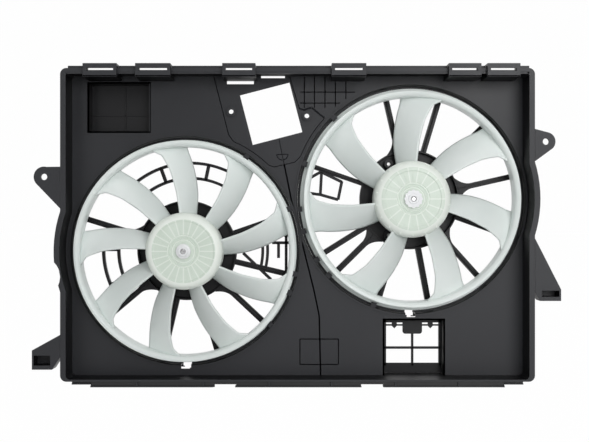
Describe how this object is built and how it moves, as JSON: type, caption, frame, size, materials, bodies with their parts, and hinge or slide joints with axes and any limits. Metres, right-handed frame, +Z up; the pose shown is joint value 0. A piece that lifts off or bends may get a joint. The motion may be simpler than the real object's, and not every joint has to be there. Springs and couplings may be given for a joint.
{
  "type": "radiator fan shroud",
  "caption": "Moulded tray that seals to the back of a car radiator and carries two motor-driven ducted fans, with side ears, hook sockets and upper clip loops.",
  "frame": {"origin": "centre of the front sealing rim, on the plane of the rim's front face", "axes": "+X to the right seen from the radiator side, +Y rearwards along the air flow and the fan axes, +Z up"},
  "size_m": [0.769, 0.145, 0.4703],
  "materials": {
    "shroud_plastic": "moulded glass-filled nylon, fine satin grain",
    "fan_plastic": "natural milky nylon, slightly see-through",
    "nut_plastic": "white moulded nut",
    "shaft_steel": "ground steel",
    "motor_steel": "black e-coated steel",
    "screw_steel": "zinc plated",
    "cap_plastic": "black moulding",
    "bearing_steel": "polished ring",
    "lamination_steel": "stacked laminations",
    "copper_wire": "enamelled copper",
    "copper_bar": "bare copper alloy",
    "ferrite": "ferrite, ground",
    "carbon": "copper-graphite"
  },
  "bodies": {
    "frame": {"shroud_tray": "shroud_plastic", "bottom_flange": "shroud_plastic", "clip_loops": "shroud_plastic", "left_barrel": "shroud_plastic", "right_barrel": "shroud_plastic", "left_motor_cradle": "shroud_plastic", "right_motor_cradle": "shroud_plastic", "left_ear": "shroud_plastic", "right_ear": "shroud_plastic", "left_hook_socket": "shroud_plastic", "right_hook_socket": "shroud_plastic", "grille_insert": "shroud_plastic", "left_motor_can": "motor_steel", "left_motor_flange": "motor_steel", "left_motor_screws": "screw_steel", "left_motor_cap": "cap_plastic", "left_front_bearing": "bearing_steel", "left_rear_bearing": "bearing_steel", "left_magnets": "ferrite", "left_brush_card": "cap_plastic", "left_brushes": "carbon", "left_power_inlet": "cap_plastic", "left_inlet_blades": "copper_bar", "right_motor_can": "motor_steel", "right_motor_flange": "motor_steel", "right_motor_screws": "screw_steel", "right_motor_cap": "cap_plastic", "right_front_bearing": "bearing_steel", "right_rear_bearing": "bearing_steel", "right_magnets": "ferrite", "right_brush_card": "cap_plastic", "right_brushes": "carbon", "right_power_inlet": "cap_plastic", "right_inlet_blades": "copper_bar"},
    "left_rotor": {"left_fan_hub": "fan_plastic", "left_fan_blades": "fan_plastic", "left_fan_ring": "fan_plastic", "left_hub_nut": "nut_plastic", "left_shaft": "shaft_steel", "left_armature_core": "lamination_steel", "left_windings": "copper_wire", "left_commutator": "copper_bar"},
    "right_rotor": {"right_fan_hub": "fan_plastic", "right_fan_blades": "fan_plastic", "right_fan_ring": "fan_plastic", "right_hub_nut": "nut_plastic", "right_shaft": "shaft_steel", "right_armature_core": "lamination_steel", "right_windings": "copper_wire", "right_commutator": "copper_bar"}
  },
  "joints": [
    {"name": "left_fan_spin", "type": "hinge", "parent": "frame", "child": "left_rotor", "pos_m": [-0.1675, 0, -0.039], "axis": [0, 1, 0], "continuous": true},
    {"name": "right_fan_spin", "type": "hinge", "parent": "frame", "child": "right_rotor", "pos_m": [0.17, 0, 0.038], "axis": [0, 1, 0], "continuous": true}
  ]
}
